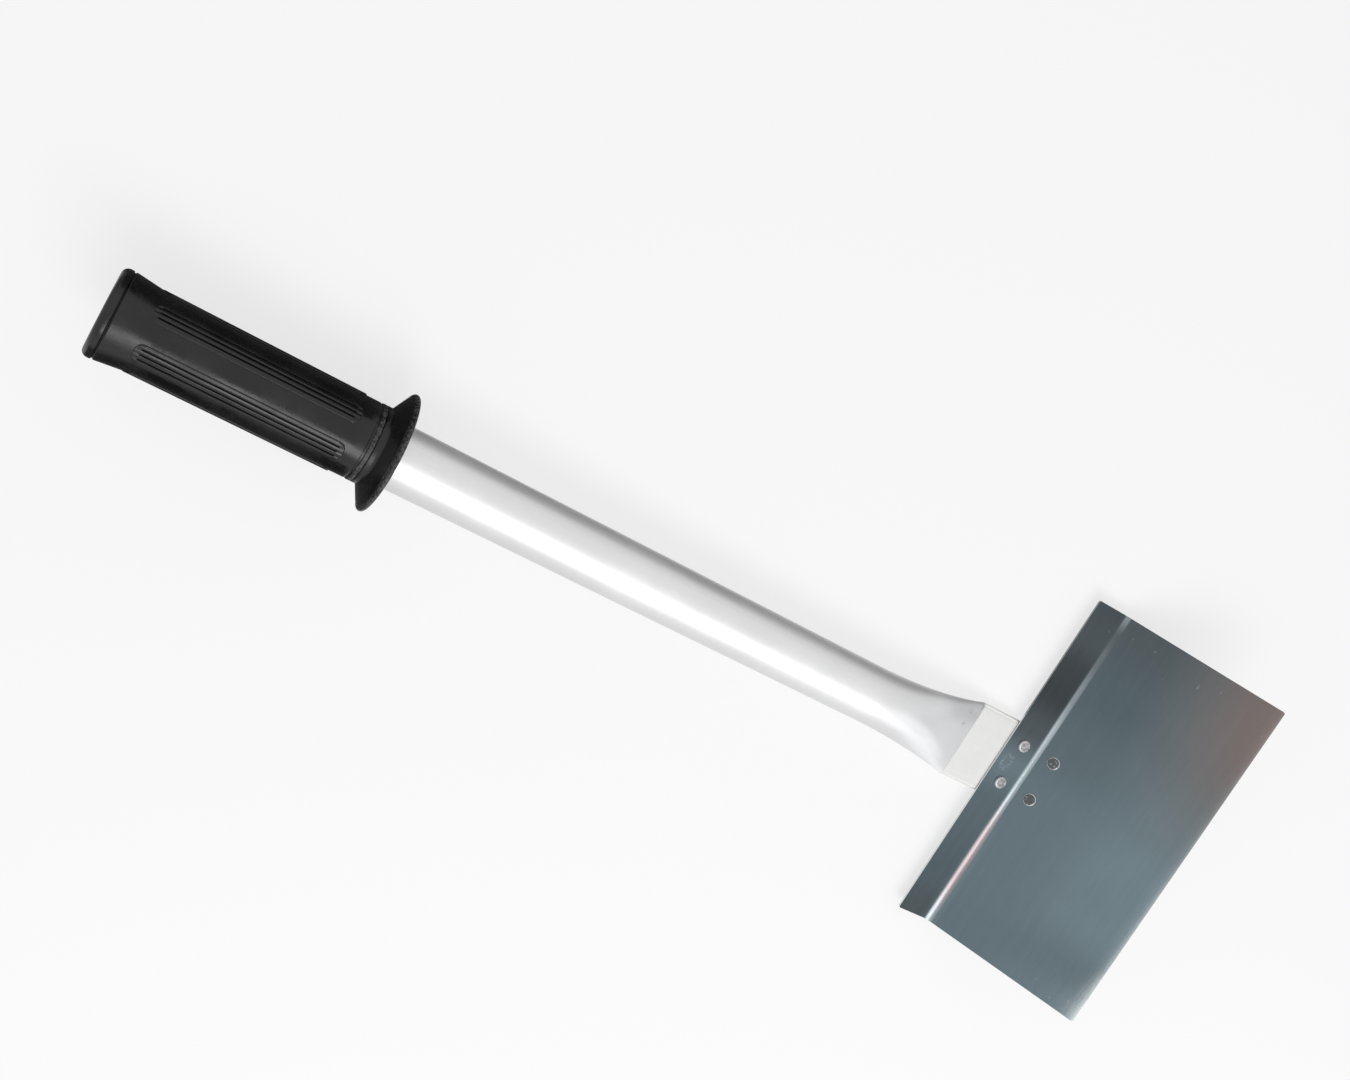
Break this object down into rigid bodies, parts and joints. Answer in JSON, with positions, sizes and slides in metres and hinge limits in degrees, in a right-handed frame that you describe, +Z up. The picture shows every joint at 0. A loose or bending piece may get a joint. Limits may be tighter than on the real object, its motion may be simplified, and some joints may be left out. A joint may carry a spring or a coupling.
{
  "type": "roofing shovel",
  "caption": "Short-handled roofing shovel: a wide bent sheet-steel blade riveted to the flattened end of an aluminium tube, with a ribbed black rubber grip and thumb guard.",
  "frame": {"origin": "on the ground below the middle of the tool's box, with the tool lying face up on its guard's rim and its heel rivets' tails", "axes": "+X from the grip to the blade along the ground, +Y to the left across the blade, +Z up; the tube's axis runs 2.74 degrees down toward +X"},
  "size_m": [0.496, 0.168, 0.051],
  "materials": {
    "spring_steel": "blue-grey spring steel, finely brushed and nearly mirror bright",
    "tube_aluminium": "satin drawn aluminium",
    "grip_rubber": "semi-gloss black moulded rubber, lightly dusty",
    "rivet_aluminium": "bright hammered aluminium"
  },
  "bodies": {
    "root": {"blade": "spring_steel", "handle_tube": "tube_aluminium", "grip": "grip_rubber", "heel_rivet_left": "rivet_aluminium", "heel_rivet_right": "rivet_aluminium", "face_rivet_left": "rivet_aluminium", "face_rivet_right": "rivet_aluminium"}
  },
  "joints": []
}
